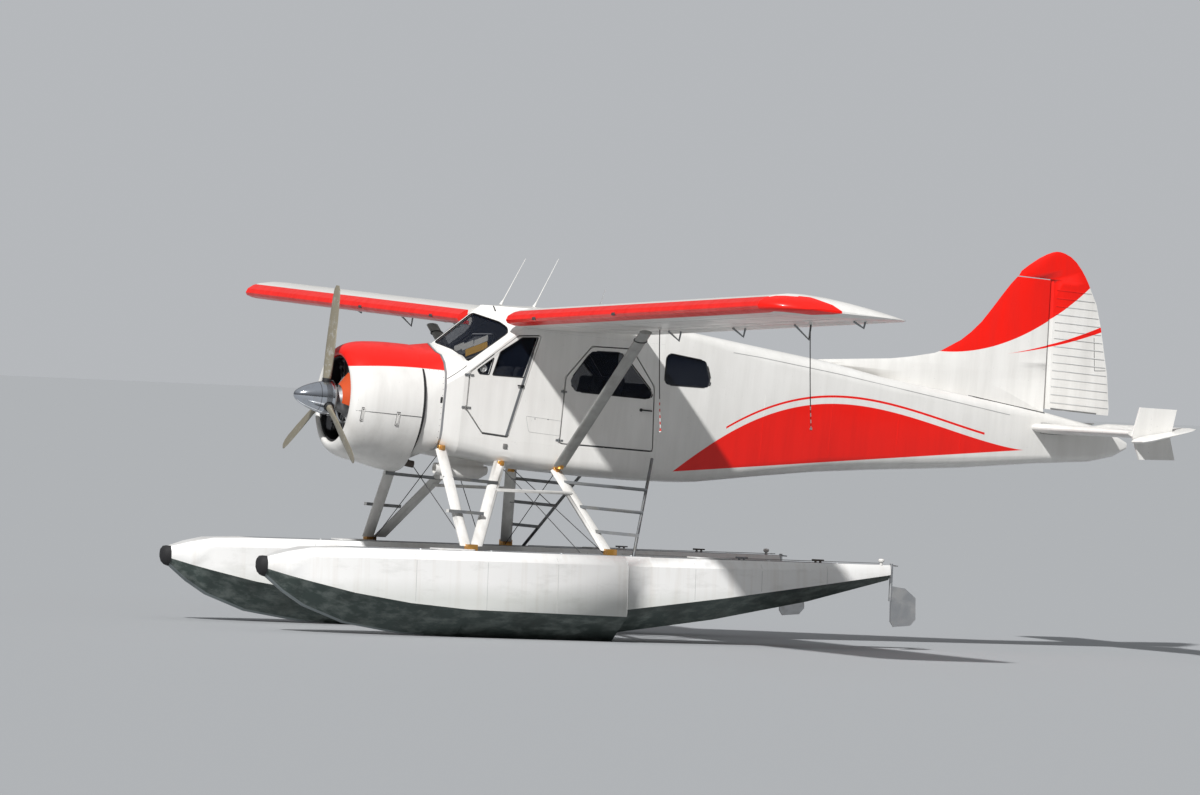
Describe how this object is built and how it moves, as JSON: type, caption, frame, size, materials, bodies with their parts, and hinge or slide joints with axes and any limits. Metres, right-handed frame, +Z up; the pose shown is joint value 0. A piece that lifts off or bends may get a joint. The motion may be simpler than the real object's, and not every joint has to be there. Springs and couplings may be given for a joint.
{
  "type": "single-engine high-wing floatplane",
  "caption": "Strut-braced high-wing utility aircraft with a radial engine, cabin doors and movable control surfaces, standing on twin floats.",
  "frame": {"origin": "on the floor under the float keels, midway along the whole length and on the centre plane", "axes": "+X to port along the span, +Y aft, +Z up; the nose points towards -Y and the airframe sits 3.4 degrees nose-up on its level floats"},
  "size_m": [14.6304, 10.7344, 4.3688],
  "materials": {
    "white_paint": "gloss white aircraft enamel, with red bands on the cowl, wing edges, fin and rear body",
    "float_paint": "white enamel with scuffs, grey non-skid decks",
    "strut_paint": "light grey enamel",
    "engine_metal": "dark cast finned metal",
    "bare_aluminium": "bare sheet and tube, slightly dulled",
    "polished_metal": "polished bright",
    "blade_paint": "grey-beige blade paint, worn along the edges",
    "window_glass": "clear acrylic",
    "seat_fabric": "dark woven upholstery",
    "panel_black": "matt black",
    "bumper_rubber": "black moulded rubber",
    "rope_fibre": "laid rope, weathered grey"
  },
  "bodies": {
    "airframe": {"engine_cowl": "white_paint", "engine": "engine_metal", "accessory_cowl": "white_paint", "firewall": "bare_aluminium", "cabin_front": "white_paint", "cabin_floor": "white_paint", "cabin_roof": "white_paint", "cabin_side_left": "white_paint", "cabin_side_right": "white_paint", "rear_fuselage": "white_paint", "rear_window_left": "window_glass", "rear_window_right": "window_glass", "windshield_left": "window_glass", "windshield_right": "window_glass", "fin": "white_paint", "tailplane_left": "white_paint", "tailplane_right": "white_paint", "wing_left": "white_paint", "wing_right": "white_paint", "wing_strut_left": "strut_paint", "wing_strut_right": "strut_paint", "front_float_strut_left": "white_paint", "front_float_strut_right": "white_paint", "rear_float_strut_left": "white_paint", "rear_float_strut_right": "white_paint", "ladder_left": "bare_aluminium", "ladder_right": "bare_aluminium", "belly_duct": "white_paint", "front_seat_left": "seat_fabric", "front_seat_right": "seat_fabric", "middle_bench": "seat_fabric", "rear_bench": "seat_fabric", "instrument_panel": "panel_black", "float_left": "float_paint", "float_right": "float_paint", "bow_bumper_left": "bumper_rubber", "bow_bumper_right": "bumper_rubber", "front_spreader_bar": "strut_paint", "rear_spreader_bar": "strut_paint", "wing_rope_inner": "rope_fibre", "wing_rope_outer": "rope_fibre"},
    "propeller": {"propeller": "blade_paint", "spinner": "polished_metal"},
    "crew_door_left": {"crew_door_left": "white_paint", "crew_window_left": "window_glass"},
    "crew_door_right": {"crew_door_right": "white_paint", "crew_window_right": "window_glass"},
    "cabin_door_left": {"cabin_door_left": "white_paint", "cabin_window_left": "window_glass"},
    "cabin_door_right": {"cabin_door_right": "white_paint", "cabin_window_right": "window_glass"},
    "rudder": {"rudder": "white_paint"},
    "elevator": {"elevator_left": "white_paint", "elevator_right": "white_paint"},
    "flap_left": {"flap_left": "white_paint"},
    "flap_right": {"flap_right": "white_paint"},
    "aileron_left": {"aileron_left": "white_paint"},
    "aileron_right": {"aileron_right": "white_paint"},
    "water_rudder_left": {"water_rudder_left": "bare_aluminium"},
    "water_rudder_right": {"water_rudder_right": "bare_aluminium"}
  },
  "joints": [
    {"name": "propeller_spin", "type": "hinge", "parent": "airframe", "child": "propeller", "pos_m": [0, -4.13879, 2.43726], "axis": [0, 0.9983, -0.0588], "continuous": true},
    {"name": "crew_door_left_hinge", "type": "hinge", "parent": "airframe", "child": "crew_door_left", "pos_m": [0.662, -2.77937, 2.55758], "axis": [0, -0.0588, -0.9983], "range_deg": [0, 75]},
    {"name": "crew_door_right_hinge", "type": "hinge", "parent": "airframe", "child": "crew_door_right", "pos_m": [-0.662, -2.77937, 2.55758], "axis": [0, 0.0588, 0.9983], "range_deg": [0, 75]},
    {"name": "cabin_door_left_hinge", "type": "hinge", "parent": "airframe", "child": "cabin_door_left", "pos_m": [0.662, -1.68715, 2.39311], "axis": [0, -0.0588, -0.9983], "range_deg": [0, 65]},
    {"name": "cabin_door_right_hinge", "type": "hinge", "parent": "airframe", "child": "cabin_door_right", "pos_m": [-0.662, -1.68715, 2.39311], "axis": [0, 0.0588, 0.9983], "range_deg": [0, 65]},
    {"name": "rudder_turn", "type": "hinge", "parent": "airframe", "child": "rudder", "pos_m": [0, 4.36317, 2.62896], "axis": [0, 0.0219, 0.9998], "range_deg": [-25, 25]},
    {"name": "elevator_tilt", "type": "hinge", "parent": "airframe", "child": "elevator", "pos_m": [0, 4.65254, 2.40557], "axis": [1, 0, 0], "range_deg": [-40, 9]},
    {"name": "flap_left_hinge", "type": "hinge", "parent": "airframe", "child": "flap_left", "pos_m": [0.70227, -1.15506, 3.2297], "axis": [-0.9994, -0.0021, -0.0348], "range_deg": [0, 50]},
    {"name": "flap_right_hinge", "type": "hinge", "parent": "airframe", "child": "flap_right", "pos_m": [-0.70227, -1.15506, 3.2297], "axis": [-0.9994, 0.0021, 0.0348], "range_deg": [0, 50]},
    {"name": "aileron_left_hinge", "type": "hinge", "parent": "airframe", "child": "aileron_left", "pos_m": [3.96428, -1.14837, 3.34342], "axis": [0.9994, 0.0021, 0.0348], "range_deg": [-18, 18]},
    {"name": "aileron_right_hinge", "type": "hinge", "parent": "airframe", "child": "aileron_right", "pos_m": [-3.96428, -1.14837, 3.34342], "axis": [0.9994, -0.0021, -0.0348], "range_deg": [-18, 18]},
    {"name": "water_rudder_left_turn", "type": "hinge", "parent": "airframe", "child": "water_rudder_left", "pos_m": [1.413, 1.90082, 0.72], "axis": [0, 0, 1], "range_deg": [-30, 30]},
    {"name": "water_rudder_right_turn", "type": "hinge", "parent": "airframe", "child": "water_rudder_right", "pos_m": [-1.413, 1.90082, 0.72], "axis": [0, 0, 1], "range_deg": [-30, 30]}
  ],
  "couplings": [
    {"joint": "flap_right_hinge", "follows": "flap_left_hinge", "ratio": 1},
    {"joint": "aileron_right_hinge", "follows": "aileron_left_hinge", "ratio": -1},
    {"joint": "water_rudder_left_turn", "follows": "rudder_turn", "ratio": 1.2},
    {"joint": "water_rudder_right_turn", "follows": "rudder_turn", "ratio": 1.2}
  ]
}
